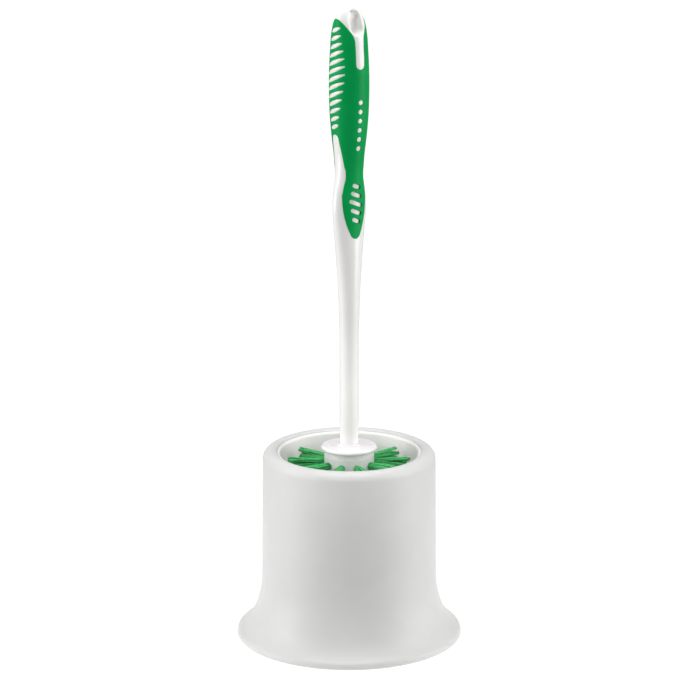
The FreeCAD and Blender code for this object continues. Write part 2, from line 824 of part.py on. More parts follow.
def main():
    parts = [make_caddy_shell(), make_drip_cup(), make_head_core()]
    parts += [make_tuft_ring(ring) for ring in range(int(value("ring_count")))]
    parts += [make_end_tufts(), make_centre_tuft(), make_anchors()]
    parts += make_grip()
    doc.recompute()
    for item in doc.Objects:
        check(item)
    os.makedirs("parts", exist_ok=True)
    for part in parts:
        part.Label = part.Name
        shape = part.Shape
        if shape.isNull() or not shape.isValid():
            raise RuntimeError("%s has no sound shape" % part.Name)
        print("%-16s solids %2d  volume %9.1f mm3" % (part.Label, len(shape.Solids), shape.Volume))
        shape.exportStep("parts/%s.step" % part.Label)
    print("ok")


main()
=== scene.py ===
from math import atan2, cos, pi, radians, sin, sqrt

import bpy
import numpy as np
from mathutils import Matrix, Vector


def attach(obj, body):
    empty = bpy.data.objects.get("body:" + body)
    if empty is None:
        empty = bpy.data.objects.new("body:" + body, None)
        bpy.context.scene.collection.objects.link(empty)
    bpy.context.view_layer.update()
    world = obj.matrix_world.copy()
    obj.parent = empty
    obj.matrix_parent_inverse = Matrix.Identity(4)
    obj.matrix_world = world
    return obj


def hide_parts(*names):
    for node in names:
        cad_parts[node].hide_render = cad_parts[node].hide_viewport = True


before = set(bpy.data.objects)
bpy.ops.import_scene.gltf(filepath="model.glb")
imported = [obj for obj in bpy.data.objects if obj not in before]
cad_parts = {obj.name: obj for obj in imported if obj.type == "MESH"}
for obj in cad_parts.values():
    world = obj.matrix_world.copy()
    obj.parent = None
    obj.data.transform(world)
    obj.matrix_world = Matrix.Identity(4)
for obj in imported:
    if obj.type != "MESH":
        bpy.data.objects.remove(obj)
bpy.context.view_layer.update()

# Shapes are in millimetres, and new_object() turns them into metres. The camera and the
# lights are in metres. Heights are above the floor, and -Y is the front of the grip.
MM = 0.001


# ------------------------------------------------------------------ materials
# Nearly all values of a noise texture lie between these two.
NOISE_LOW = 0.3
NOISE_HIGH = 0.7


class Nodes:
    """A material, with short ways to add and link shader nodes."""

    def __init__(self, name):
        self.material = bpy.data.materials.new(name)
        self.material.use_nodes = True
        self.tree = self.material.node_tree
        self.shader = self.tree.nodes["Principled BSDF"]

    def add(self, kind):
        return self.tree.nodes.new("ShaderNode" + kind)

    def link(self, out_socket, in_socket):
        self.tree.links.new(out_socket, in_socket)

    def put(self, socket, setting):
        self.shader.inputs[socket].default_value = setting

    def noise(self, scale, detail=3):
        """A noise texture that stays with the object."""
        noise = self.add("TexNoise")
        noise.inputs["Scale"].default_value = scale
        noise.inputs["Detail"].default_value = detail
        self.link(self.add("TexCoord").outputs["Object"], noise.inputs["Vector"])
        return noise.outputs["Fac"]

    def colours(self, noise, dark, light):
        """Let the colour wander from dark to light with a noise."""
        ramp = self.add("ValToRGB")
        ramp.color_ramp.elements[0].position = NOISE_LOW
        ramp.color_ramp.elements[1].position = NOISE_HIGH
        ramp.color_ramp.elements[0].color = (*dark, 1)
        ramp.color_ramp.elements[1].color = (*light, 1)
        self.link(noise, ramp.inputs["Fac"])
        self.link(ramp.outputs["Color"], self.shader.inputs["Base Color"])

    def roughness(self, noise, low, high):
        """Let the roughness wander from low to high with a noise."""
        spread = self.add("MapRange")
        spread.inputs["From Min"].default_value = NOISE_LOW
        spread.inputs["From Max"].default_value = NOISE_HIGH
        spread.inputs["To Min"].default_value = low
        spread.inputs["To Max"].default_value = high
        self.link(noise, spread.inputs["Value"])
        self.link(spread.outputs["Result"], self.shader.inputs["Roughness"])

    def bump(self, noise, height, strength):
        """A fine grain, with its height in millimetres."""
        bump = self.add("Bump")
        bump.inputs["Distance"].default_value = height * MM
        bump.inputs["Strength"].default_value = strength
        self.link(noise, bump.inputs["Height"])
        self.link(bump.outputs["Normal"], self.shader.inputs["Normal"])

    def glow(self, weight, reach):
        """Light that scatters inside, with its reach in millimetres for red, green and blue."""
        self.put("Subsurface Weight", weight)
        self.put("Subsurface Radius", [length * MM for length in reach])
        self.put("Subsurface Scale", 1.0)


def white_plastic(name, dark, light, roughness, grain, glow):
    """Moulded polypropylene: a little mottled, waxy, with a fine moulded texture."""
    kit = Nodes(name)
    kit.colours(kit.noise(scale=35, detail=4), dark, light)
    kit.roughness(kit.noise(scale=220), low=roughness - 0.04, high=roughness + 0.05)
    kit.bump(kit.noise(scale=1400, detail=2), height=grain, strength=0.4)
    kit.put("IOR", 1.49)
    kit.glow(glow, reach=(5.0, 4.6, 4.4))
    return kit.material


def grip_rubber():
    """Soft green overmoulded rubber with a fine matte grain."""
    kit = Nodes("grip_rubber")
    kit.colours(kit.noise(scale=60, detail=4), dark=(0.000, 0.300, 0.068),
                light=(0.001, 0.370, 0.088))
    kit.roughness(kit.noise(scale=400), low=0.34, high=0.44)
    kit.bump(kit.noise(scale=2400), height=0.04, strength=0.5)
    kit.put("IOR", 1.5)
    kit.put("Specular IOR Level", 0.09)
    return kit.material


def nylon():
    """Green nylon filament: slightly translucent and streaked from strand to strand."""
    kit = Nodes("green_nylon")
    kit.colours(kit.noise(scale=420, detail=2), dark=(0.026, 0.375, 0.095),
                light=(0.066, 0.530, 0.150))
    kit.roughness(kit.noise(scale=700), low=0.28, high=0.42)
    kit.put("IOR", 1.53)
    kit.glow(0.15, reach=(0.2, 0.6, 0.3))
    return kit.material


def steel():
    """Flat drawn wire of the tuft anchors."""
    kit = Nodes("anchor_steel")
    kit.colours(kit.noise(scale=900), dark=(0.42, 0.42, 0.43), light=(0.58, 0.58, 0.60))
    kit.roughness(kit.noise(scale=500), low=0.28, high=0.4)
    kit.put("Metallic", 1.0)
    return kit.material


# Painted shade: the caddy's white is set much greyer than the cup's and the handle's, so the whole
# shell renders darker under the bright lamps.
CADDY_SHADED_WHITE = white_plastic("caddy_white", dark=(0.595, 0.600, 0.590), light=(0.620, 0.625, 0.615),
                            roughness=0.46, grain=0.05, glow=0.4)
CUP_WHITE = white_plastic("cup_white", dark=(0.860, 0.815, 0.820), light=(0.890, 0.845, 0.850),
                          roughness=0.45, grain=0.03, glow=0.2)
HANDLE_WHITE = white_plastic("handle_white", dark=(0.88, 0.875, 0.855), light=(0.91, 0.905, 0.885),
                             roughness=0.16, grain=0.01, glow=0.1)
HEAD_WHITE = white_plastic("head_white", dark=(0.79, 0.765, 0.78), light=(0.82, 0.795, 0.81),
                           roughness=0.30, grain=0.004, glow=0.3)
GRIP_GREEN = grip_rubber()
TUFT_GREEN = nylon()
STEEL = steel()


# ---------------------------------------------------------------- mesh making
# A profile point nearer to the axis than this lies on it.
ON_AXIS = 1e-6


def new_object(name, vertices, faces, material):
    """A smooth-shaded object from millimetre vertices."""
    mesh = bpy.data.meshes.new(name)
    mesh.from_pydata((np.asarray(vertices, float) * MM).tolist(), [], faces)
    mesh.update()
    mesh.polygons.foreach_set("use_smooth", [True] * len(mesh.polygons))
    mesh.materials.append(material)
    item = bpy.data.objects.new(name, mesh)
    bpy.context.scene.collection.objects.link(item)
    return item


def stand_for(item, body, node):
    """A piece that rides on a body and stands for one CAD node."""
    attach(item, body)
    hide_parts(node)


def arc(start, end, radius, side, step):
    """Points along the short arc from start to end, without its end. It bulges right or left."""
    start = np.array(start, float)
    end = np.array(end, float)
    chord = end - start
    half = np.hypot(*chord) / 2
    right = np.array([chord[1], -chord[0]]) / (2 * half)
    if side == "left":
        right = -right
    centre = (start + end) / 2 - right * sqrt(radius ** 2 - half ** 2)
    across, up = start - centre
    first = atan2(up, across)
    sweep = 2 * np.arcsin(half / radius) * (1 if side == "right" else -1)
    count = max(3, int(abs(sweep) * radius / step))
    angles = first + sweep * np.arange(count) / count
    return [centre + radius * np.array([cos(angle), sin(angle)]) for angle in angles]


def outline(points, step):
    """A closed outline. Each point is (x, y), or (x, y, radius, side) for an arc to the next."""
    result = []
    for index, point in enumerate(points):
        following = points[(index + 1) % len(points)]
        if len(point) == 2:
            result.append(np.array(point, float))
        else:
            result += arc(point[:2], following[:2], point[2], point[3], step)
    return result


def lathe(name, profile, segments, material, closed=True):
    """Turn (radius, height) points about Z. Points on the axis become a single vertex."""
    vertices = []
    rings = []
    for radius, height in profile:
        if radius < ON_AXIS:
            rings.append([len(vertices)] * segments)
            vertices.append((0, 0, height))
            continue
        rings.append(list(range(len(vertices), len(vertices) + segments)))
        for step in range(segments):
            angle = 2 * pi * step / segments
            vertices.append((radius * cos(angle), radius * sin(angle), height))
    faces = []
    count = len(rings)
    for index in range(count if closed else count - 1):
        low = rings[index]
        high = rings[(index + 1) % count]
        for step in range(segments):
            after = (step + 1) % segments
            add_face(faces, (low[step], low[after], high[after], high[step]))
    return new_object(name, vertices, faces, material)


def add_face(faces, corners):
    """Add a face without its repeated corners, if enough of them are left."""
    corners = tuple(dict.fromkeys(corners))
    if len(corners) > 2:
        faces.append(corners)


# ---------------------------------------------------------------------- caddy
SHELL_WALL = 2.2
BASE_RADIUS = 75
CADDY_HEIGHT = 127
WALL_FOOT = (58.1, 42)
WALL_TOP = (57.2, 121)
COLLAR_RADIUS = 47.4
COLLAR_FOOT = 112


def bell_face(depth):
    """The bell's outer face from the wall down to its edge, at a depth inside it.

    An upper arc leaves the wall's foot upright, a lower arc carries on from it at the middle
    slope, and a small round edge carries on from that down to the base.
    """
    upper = 66.25
    lower = 30.3
    middle_slope = radians(21.2)
    edge_slope = radians(54.9)
    upper_centre = np.array(WALL_FOOT) + (upper, 0)
    along_middle = np.array([cos(middle_slope), sin(middle_slope)])
    along_edge = np.array([cos(edge_slope), sin(edge_slope)])
    lower_centre = upper_centre - (upper - lower) * along_middle
    middle = upper_centre - (upper + depth) * along_middle
    edge = lower_centre - (lower + depth) * along_edge
    lip_curve = (BASE_RADIUS - (lower_centre - lower * along_edge)[0]) / (1 - cos(edge_slope))
    lip_height = (lower_centre - (lower + lip_curve) * along_edge)[1]
    return middle, edge, upper + depth, lower + depth, lip_curve - depth, lip_height


def caddy_shell():
    """The bell: one even wall from the base lip over the rolled rim and down to the ledge."""
    middle, edge, upper, lower, lip_curve, lip_height = bell_face(0)
    inner_middle, inner_edge, inner_upper, inner_lower, inner_lip, _ = bell_face(SHELL_WALL)
    crest = 51.2
    rim_outer = 6
    rim_inner = 8
    rim_foot = 126
    ledge_radius = 46.7
    edge_round = 0.6
    collar_outside = COLLAR_RADIUS + SHELL_WALL
    reach = crest - collar_outside
    collar_top = CADDY_HEIGHT - rim_inner + sqrt((rim_inner - SHELL_WALL) ** 2 - reach ** 2)
    profile = outline([
        (BASE_RADIUS - SHELL_WALL, edge_round, edge_round, "right"),
        (BASE_RADIUS - SHELL_WALL + edge_round, 0),
        (BASE_RADIUS - edge_round, 0, edge_round, "right"),
        (BASE_RADIUS, edge_round),
        (BASE_RADIUS, lip_height, lip_curve, "right"),
        (*edge, lower, "left"),
        (*middle, upper, "left"),
        WALL_FOOT,
        (*WALL_TOP, rim_outer, "right"),
        (crest, CADDY_HEIGHT, rim_inner, "right"),
        (COLLAR_RADIUS, rim_foot),
        (COLLAR_RADIUS, COLLAR_FOOT),
        (ledge_radius, COLLAR_FOOT),
        (ledge_radius, COLLAR_FOOT - SHELL_WALL),
        (collar_outside, COLLAR_FOOT - SHELL_WALL),
        (collar_outside, collar_top, rim_inner - SHELL_WALL, "left"),
        (crest, CADDY_HEIGHT - SHELL_WALL, rim_outer - SHELL_WALL, "left"),
        (WALL_TOP[0] - SHELL_WALL, WALL_TOP[1]),
        (WALL_FOOT[0] - SHELL_WALL, WALL_FOOT[1], inner_upper, "right"),
        (*inner_middle, inner_lower, "right"),
        (*inner_edge, inner_lip, "left"),
        (BASE_RADIUS - SHELL_WALL, lip_height),
    ], step=1.0)
    shell = lathe("caddy_shell_moulding", profile, segments=200, material=CADDY_SHADED_WHITE)
    stand_for(shell, "caddy", "caddy_shell")


def drip_cup():
    """The inner cup: its shoulder sits on the collar's ledge and its lip ends inside the rim."""
    underside = 22.2
    floor = 24
    corner = 5
    outer_foot = 45
    outer_top = 46.6
    inner_foot = 43.2
    lip_top = 125.7
    lip_curve = 2.2
    mouth = (45.6, 123.9)
    profile = outline([
        (0, underside),
        (outer_foot - corner, underside, corner, "right"),
        (outer_foot, underside + corner),
        (outer_top, COLLAR_FOOT),
        (COLLAR_RADIUS, COLLAR_FOOT),
        (COLLAR_RADIUS, lip_top, lip_curve, "right"),
        mouth,
        (inner_foot, floor + corner, corner, "left"),
        (inner_foot - corner, floor),
        (0, floor),
    ], step=0.8)
    cup = lathe("drip_cup_moulding", profile, segments=160, material=CUP_WHITE, closed=False)
    stand_for(cup, "caddy", "drip_cup")


# ----------------------------------------------------------------- brush head
CORE_RADIUS = 16.5
CORE_END = 51.5
SHAFT_RADIUS = 6.2


def head_core():
    """The moulded core: cap disc with a boss, neck, tufted barrel and dome."""
    dome_curve = 10.5
    barrel_top = 123.4
    shoulder_curve = 1.4
    neck_radius = 15.4
    neck_foot = 124.8
    neck_curve = 0.6
    disc_radius = 18.4
    disc_under = 127.4
    disc_top = 130
    under_round = 0.9
    top_round = 1.4
    boss_radius = 7.8
    boss_foot = 1.0
    boss_round = 0.6
    boss_mouth = 131.3
    socket_step = 126
    profile = outline([
        (0, CORE_END),
        (CORE_RADIUS - dome_curve, CORE_END, dome_curve, "right"),
        (CORE_RADIUS, CORE_END + dome_curve),
        (CORE_RADIUS, barrel_top, shoulder_curve, "right"),
        (neck_radius, neck_foot),
        (neck_radius, disc_under - neck_curve, neck_curve, "left"),
        (neck_radius + neck_curve, disc_under),
        (disc_radius - under_round, disc_under, under_round, "right"),
        (disc_radius, disc_under + under_round),
        (disc_radius, disc_top - top_round, top_round, "right"),
        (disc_radius - top_round, disc_top),
        (boss_radius + boss_foot, disc_top, boss_foot, "left"),
        (boss_radius, disc_top + boss_foot, boss_round, "right"),
        (boss_radius - boss_round, disc_top + boss_foot + boss_round),
        (SHAFT_RADIUS, boss_mouth),
        (SHAFT_RADIUS, socket_step),
        (0, socket_step),
    ], step=0.3)
    core = lathe("head_core_moulding", profile, segments=144, material=HEAD_WHITE, closed=False)
    stand_for(core, "brush", "head_core")


# ---------------------------------------------------------------------- tufts
# Filaments in a tuft, and the shape of one.
STRANDS = 46
STRAND_RADIUS = 0.42
STRAND_SIDES = 4
STRAND_STEPS = 6
# A tuft starts inside its hole and fans out. FAN_CURVE above 1 makes it fan out late.
ROOT_RADIUS = 2.1
ROOT_DEPTH = 1.5
FAN_CURVE = 1.3
# The filaments gather in clumps: one in the middle and some on a ring round it, whose
# radius is a share of the tuft's. Each filament goes a share of the way to its clump.
CLUMPS = 4
CLUMP_RING = 0.62
CLUMP_PULL = 0.62
# Random differences: filament ends, lengths of clumps and of filaments, and bows.
END_SCATTER = 0.05
CLUMP_LENGTHS = (-1.6, 0.6)
STRAND_LENGTHS = (-0.9, 0.5)
BOW = 0.35
# A direction that no filament follows, to build a filament's cross-section from.
OBLIQUE = (0.31, 0.17, 0.94)


def strand(path, vertices, faces):
    """A four-sided filament along a path, closed at both ends."""
    count = len(path)
    first = len(vertices) * count
    ahead = np.gradient(path, axis=0)
    ahead /= np.linalg.norm(ahead, axis=1)[:, None]
    across = np.cross(ahead, OBLIQUE)
    across /= np.linalg.norm(across, axis=1)[:, None]
    other = np.cross(ahead, across)
    for side in range(STRAND_SIDES):
        angle = 2 * pi * side / STRAND_SIDES
        vertices.append(path + STRAND_RADIUS * (across * cos(angle) + other * sin(angle)))
    starts = [first + side * count for side in range(STRAND_SIDES)]
    for side, a in enumerate(starts):
        b = starts[(side + 1) % STRAND_SIDES]
        for step in range(count - 1):
            faces.append((a + step, a + step + 1, b + step + 1, b + step))
    faces.append(tuple(starts))
    faces.append(tuple(start + count - 1 for start in reversed(starts)))


def tuft(rng, start, along, length, tip_radius, droop, vertices, faces):
    """A bundle of filaments that fans out from its hole in a few loose clumps."""
    along = along / np.linalg.norm(along)
    upright = abs(along[2]) > 0.9
    side = np.array([1.0, 0, 0]) if upright else np.cross(along, (0, 0, 1))
    side /= np.linalg.norm(side)
    up = np.cross(side, along)
    clump_angles = rng.uniform(0, 2 * pi) + 2 * pi * np.arange(CLUMPS) / CLUMPS
    clumps = CLUMP_RING * np.stack([np.cos(clump_angles), np.sin(clump_angles)], 1)
    clumps = np.vstack([clumps, (0, 0)])
    clump_lengths = rng.uniform(*CLUMP_LENGTHS, len(clumps))
    share = np.linspace(0, 1, STRAND_STEPS)[:, None]
    fan = share ** FAN_CURVE
    for index in range(STRANDS):
        # Evenly spread over the disc: each root is a golden angle on from the last.
        reach = sqrt((index + 0.5) / STRANDS)
        angle = index * pi * (3 - sqrt(5))
        root = reach * np.array([cos(angle), sin(angle)])
        nearest = int(np.argmin(np.linalg.norm(clumps - root, axis=1)))
        end = root + CLUMP_PULL * (clumps[nearest] - root) + rng.normal(0, END_SCATTER, 2)
        size = length + clump_lengths[nearest] + rng.uniform(*STRAND_LENGTHS)
        bow = rng.normal(0, BOW, 2)
        offset = root * ROOT_RADIUS * (1 - fan) + end * tip_radius * fan
        offset = offset + bow * np.sin(pi * share)
        path = start + along * (share * (size + ROOT_DEPTH) - ROOT_DEPTH)
        path = path + side * offset[:, :1] + up * offset[:, 1:]
        path[:, 2] -= droop * share[:, 0] ** 2
        strand(path, vertices, faces)


def tuft_group(name, node, seed, places, length, tip_radius, droop):
    """All tufts of one CAD node as one object. Each place is a start and a direction."""
    rng = np.random.default_rng(seed)
    vertices = []
    faces = []
    for start, along in places:
        tuft(rng, np.array(start), np.array(along), length, tip_radius, droop, vertices, faces)
    group = new_object(name, np.concatenate(vertices), faces, TUFT_GREEN)
    stand_for(group, "brush", node)


def ring_places(count, turn, radius, height, slope):
    """Where the tufts of a ring start, and which way they point."""
    return [((radius * cos(angle), radius * sin(angle), height),
             (cos(angle) * cos(slope), sin(angle) * cos(slope), sin(slope)))
            for angle in turn + 2 * pi * np.arange(count) / count]


def all_tufts():
    """Six staggered rings of ten tufts, a sloping ring of six on the dome and one at its end."""
    tuft_count = 10
    top_ring = 118.2
    ring_pitch = 10.7
    for ring in range(6):
        turn = pi / tuft_count if ring % 2 else 0
        places = ring_places(tuft_count, turn, CORE_RADIUS, top_ring - ring_pitch * ring,
                             slope=radians(1.5))
        tuft_group("tuft_ring_%d_strands" % (ring + 1), "tufts_ring_%d" % (ring + 1),
                   seed=20 + ring, places=places, length=23.3, tip_radius=4.9, droop=1.2)
    places = ring_places(6, 0, radius=13.4, height=54.6, slope=radians(-45))
    tuft_group("end_ring_strands", "tufts_end_ring",
               seed=31, places=places, length=25, tip_radius=3.8, droop=0.6)
    places = [((0, 0, CORE_END), (0, 0, -1))]
    tuft_group("centre_tuft_strands", "tuft_centre",
               seed=32, places=places, length=26.2, tip_radius=3.3, droop=0)


# ------------------------------------------------------------- grip: its form
# Sections of the shaft and grip: height, half width (X), half depth (Y).
SECTIONS = np.array([
    (128.5, 6.2, 6.2),
    (150, 6.2, 6.2),
    (175, 6.2, 6.2),
    (200, 6.2, 6.2),
    (212, 6.5, 6.4),
    (225, 7.0, 6.6),
    (238, 7.6, 6.8),
    (250, 8.6, 7.0),
    (264, 9.9, 7.2),
    (278, 11.4, 7.2),
    (291, 12.4, 7.2),
    (301, 11.5, 7.4),
    (310, 9.8, 7.9),
    (323, 9.7, 9.1),
    (336, 11.1, 10.7),
    (350, 12.2, 12.1),
    (365, 12.7, 12.6),
    (380, 12.6, 12.5),
    (392, 12.0, 11.9),
    (401, 11.5, 11.1),
    (409, 10.7, 8.8),
    (415, 9.0, 6.0),
    (419, 5.9, 3.5),
    (421.5, 0, 0),
])
# The sections of the straight shaft come first.
SHAFT_SECTIONS = 4
# Above 1, the tip closes rounder than a straight line from the last section.
TIP_FULLNESS = 1.5
# The least half width and half depth, so that the tip still has a direction.
THINNEST = 1e-4
# The grid on the form: columns around, and rows along it, finer from the grip's foot up.
GRIP_FOOT = 266
GRIP_COLUMNS = 168
FINE_STEP = 0.46
COARSE_STEP = 3.5


class Form:
    """The handle's outer form: elliptical sections joined by smooth curves."""

    def __init__(self):
        steps = np.linalg.norm(np.diff(SECTIONS, axis=0), axis=1)
        self.knots = np.concatenate([[0], np.cumsum(steps)])
        self.slopes = np.gradient(SECTIONS, self.knots, axis=0)
        self.slopes[:SHAFT_SECTIONS] = (1, 0, 0)
        last = SECTIONS[-1] - SECTIONS[-2]
        self.slopes[-1] = (0, *(last[1:] * TIP_FULLNESS / (self.knots[-1] - self.knots[-2])))

    def at(self, place, slope=False):
        """Height, half width and half depth at a distance along the profile, or their slopes."""
        index = np.searchsorted(self.knots, place, side="right") - 1
        index = np.clip(index, 0, len(self.knots) - 2)
        span = (self.knots[index + 1] - self.knots[index])[..., None]
        t = ((place - self.knots[index])[..., None]) / span
        p0, p1 = SECTIONS[index], SECTIONS[index + 1]
        m0, m1 = self.slopes[index] * span, self.slopes[index + 1] * span
        if slope:
            return ((6 * t ** 2 - 6 * t) * (p0 - p1) + (3 * t ** 2 - 4 * t + 1) * m0
                    + (3 * t ** 2 - 2 * t) * m1) / span
        return ((2 * t ** 3 - 3 * t ** 2 + 1) * p0 + (t ** 3 - 2 * t ** 2 + t) * m0
                + (3 * t ** 2 - 2 * t ** 3) * p1 + (t ** 3 - t ** 2) * m1)

    def point(self, place, angle, lift=0.0):
        """The surface point at a distance along and an angle around, raised by a lift."""
        height, wide, deep = np.moveaxis(self.at(place), -1, 0)
        rise, widen, deepen = np.moveaxis(self.at(place, slope=True), -1, 0)
        c, s = np.cos(angle), np.sin(angle)
        wide = np.maximum(wide, THINNEST)
        deep = np.maximum(deep, THINNEST)
        normal = np.stack([
            deep * c * rise,
            wide * s * rise,
            -(wide * deepen * s * s + widen * deep * c * c),
        ], -1)
        normal /= np.linalg.norm(normal, axis=-1)[..., None]
        return np.stack([wide * c, deep * s, height], -1) + normal * np.asarray(lift)[..., None]

    def place_of(self, height):
        """The distance along the profile at which the form reaches a height."""
        places = np.linspace(0, self.knots[-1], 4000)
        return float(np.interp(height, self.at(places)[:, 0], places))


FORM = Form()


def grid_places():
    """Rows along the profile: coarse on the shaft, fine on the grip, none on the tip itself."""
    foot = FORM.place_of(GRIP_FOOT)
    end = FORM.knots[-1]
    coarse = np.linspace(0, foot, int(foot / COARSE_STEP) + 1)
    fine = np.linspace(foot, end, int((end - foot) / FINE_STEP) + 1)
    return np.concatenate([coarse[:-1], fine[:-1]])


PLACES = grid_places()
ANGLES = 2 * pi * np.arange(GRIP_COLUMNS + 1) / GRIP_COLUMNS
GRID = FORM.point(*np.meshgrid(PLACES, ANGLES, indexing="ij"))


# --------------------------------------------------------- grip: its outlines
# A depth is how far inside an outline a point lies, and it is negative outside.
# An edge that rises by less than this is level.
LEVEL = 1e-12


def polygon_depth(x, y, corners):
    """A closed polygon."""
    nearest = np.full(x.shape, np.inf)
    inside = np.zeros(x.shape, bool)
    for index, a in enumerate(corners):
        b = corners[(index + 1) % len(corners)]
        edge = b - a
        t = np.clip(((x - a[0]) * edge[0] + (y - a[1]) * edge[1]) / (edge @ edge), 0, 1)
        nearest = np.minimum(nearest, np.hypot(x - a[0] - edge[0] * t, y - a[1] - edge[1] * t))
        crosses = (a[1] > y) != (b[1] > y)
        if abs(edge[1]) > LEVEL:
            inside ^= crosses & (x < a[0] + edge[0] * (y - a[1]) / edge[1])
    return np.where(inside, nearest, -nearest)


def capsule_depth(x, y, start, end, radius):
    """A line with round ends."""
    start = np.array(start, float)
    along = np.array(end, float) - start
    t = np.clip(((x - start[0]) * along[0] + (y - start[1]) * along[1]) / (along @ along), 0, 1)
    return radius - np.hypot(x - start[0] - along[0] * t, y - start[1] - along[1] * t)


def lens_depth(x, y, centre, slope, half_length, half_thickness):
    """A slanted lens with slightly rounded tips."""
    tip_round = 0.45
    u = (x - centre[0]) * cos(slope) - (y - centre[1]) * sin(slope)
    v = (x - centre[0]) * sin(slope) + (y - centre[1]) * cos(slope)
    u, v = np.abs(u), np.abs(v)
    half = half_length - tip_round
    thin = half_thickness - tip_round
    radius = (half ** 2 + thin ** 2) / (2 * thin)
    drop = radius - thin
    beyond = (u - half) * drop > v * half
    distance = np.where(beyond, np.hypot(u - half, v), np.hypot(u, v + drop) - radius)
    return tip_round - distance


def blend(a, b, size):
    """The smaller of two fields, with the corner between them rounded off."""
    overlap = np.maximum(size - np.abs(a - b), 0) / size
    return np.minimum(a, b) - overlap ** 2 * size / 4


# An outline that stays open on a side is closed out here, clear of the grip.
REACH = 30
ABOVE = 440
LEAF_TIP = 270.3
LEAF_TOP = 314.4


def leaf_outline():
    """Front view: the leaf panel, and everything above it."""
    right = [
        (0, LEAF_TIP, 4.5, "right"),
        (3.5, 272.6, 56, "right"),
        (9.2, 296, 60, "right"),
        (8.3, 309.5, 12, "left"),
        (8.7, LEAF_TOP),
        (REACH, LEAF_TOP),
        (REACH, ABOVE),
    ]
    left = [
        (-REACH, ABOVE),
        (-REACH, LEAF_TOP),
        (-8.7, LEAF_TOP, 12, "left"),
        (-8.3, 309.5, 60, "right"),
        (-9.2, 296, 56, "right"),
        (-3.5, 272.6, 4.5, "right"),
    ]
    return outline(right + left, step=1.0)


def window_outline():
    """Side view: the tall window where the white core shows. Its foot opens into the leaf."""
    return outline([
        (-4.0, 303),
        (4.0, 303),
        (5.2, 310),
        (5.4, 315),
        (2.9, 336.4, 2.95, "right"),
        (-2.9, 336.4),
        (-5.4, 315),
        (-5.2, 310),
    ], step=0.5)


def arch_outline():
    """Side view: everything above the sleeve's arched top edge."""
    foot = 398
    return outline([
        (-REACH, foot),
        (-11.5, foot, 24, "left"),
        (-3.5, 411.6, 5, "left"),
        (3.5, 411.6, 24, "left"),
        (11.5, foot),
        (REACH, foot),
        (REACH, ABOVE),
        (-REACH, ABOVE),
    ], step=0.8)


def tongue_depth(x, z):
    """Front view: the slit that runs down from the hang hole, where the white core shows."""
    return capsule_depth(x, z, start=(0, 384.3), end=(0, ABOVE), radius=3.1)


def rib_depth(y, z):
    """Side view: a column of slanted ribs, longest in the middle."""
    count = 13
    top = 406
    pitch = 5.17
    slope = radians(22)
    half_thickness = 1.3
    shortest = 4.0
    swell = 5.0
    swell_start = 0.35
    swell_span = 12.4
    swell_power = 1.3
    depth = np.full(y.shape, -np.inf)
    for index in range(count):
        half = shortest + swell * sin(pi * (index + swell_start) / swell_span) ** swell_power
        centre = (0, top - pitch * index)
        depth = np.maximum(depth, lens_depth(y, z, centre, slope, half, half_thickness))
    return depth


def slot_depth(x, z):
    """Front view: slanted slots in the leaf panel, longest in the middle."""
    count = 5
    top = 304.8
    pitch = 5.6
    slope = radians(22.5)
    centre = 0.5
    radius = 1.35
    longest = 4.1
    shortening = 1.1
    depth = np.full(x.shape, -np.inf)
    for index in range(count):
        half = longest - shortening * abs(index - count // 2)
        height = top - pitch * index
        start = (centre - half * cos(slope), height + half * sin(slope))
        end = (centre + half * cos(slope), height - half * sin(slope))
        depth = np.maximum(depth, capsule_depth(x, z, start, end, radius))
    return depth


def dot_depth(x, z):
    """Front view: a column of round dots."""
    count = 6
    top = 360
    pitch = 6
    radius = 1.5
    depth = np.full(x.shape, -np.inf)
    for index in range(count):
        depth = np.maximum(depth, radius - np.hypot(x, z - (top - pitch * index)))
    return depth


def hole_depth(x, z):
    """Front view: the oval hang hole."""
    return capsule_depth(x, z, start=(0, 407.6), end=(0, 414.0), radius=4.6)


# ------------------------------------------------------- grip: fields on the grid
# Where the form turns away from the view, a flat depth falls slowly along the surface. It is
# taken to fall by at least this much for each millimetre.
LEAST_FALL = 0.35
# How far the corners between the sleeve's outlines are rounded off.
WINDOW_CORNER = 4.0
TONGUE_CORNER = 1.6
TOP_CORNER = 1.0


def on_surface(depth):
    """Turn a depth on the grid, measured in a flat view, into one measured along the surface."""
    along = np.linalg.norm(np.diff(GRID, axis=0), axis=-1)
    around = np.linalg.norm(np.diff(GRID, axis=1), axis=-1)
    down = np.zeros_like(depth)
    down[1:-1] = (depth[2:] - depth[:-2]) / (along[1:] + along[:-1])
    over = np.zeros_like(depth)
    over[:, 1:-1] = (depth[:, 2:] - depth[:, :-2]) / (around[:, 1:] + around[:, :-1])
    over[:, 0] = over[:, -1] = (depth[:, 1] - depth[:, -2]) / (around[:, 0] + around[:, -1])
    return depth / np.clip(np.hypot(down, over), LEAST_FALL, 1)


def surface_fields():
    """How deep each grid point lies inside the sleeve, the hang hole, the ribs and the slots."""
    x, y, z = np.moveaxis(GRID, -1, 0)
    leaf = on_surface(polygon_depth(x, z, leaf_outline()))
    window = on_surface(-polygon_depth(y, z, window_outline()))
    arch = on_surface(-polygon_depth(y, z, arch_outline()))
    tongue = on_surface(-tongue_depth(x, z))
    ribs = on_surface(-rib_depth(y, z))
    slots = on_surface(-slot_depth(x, z))
    dots = on_surface(-dot_depth(x, z))
    foot = blend(leaf, window, WINDOW_CORNER)
    top = blend(arch, tongue, TONGUE_CORNER)
    sleeve = blend(foot, top, TOP_CORNER)
    for field in (ribs, slots, dots):
        sleeve = np.minimum(sleeve, field)
    return sleeve, on_surface(hole_depth(x, z)), -ribs, -slots


SLEEVE, HOLE, RIBS, SLOTS = surface_fields()


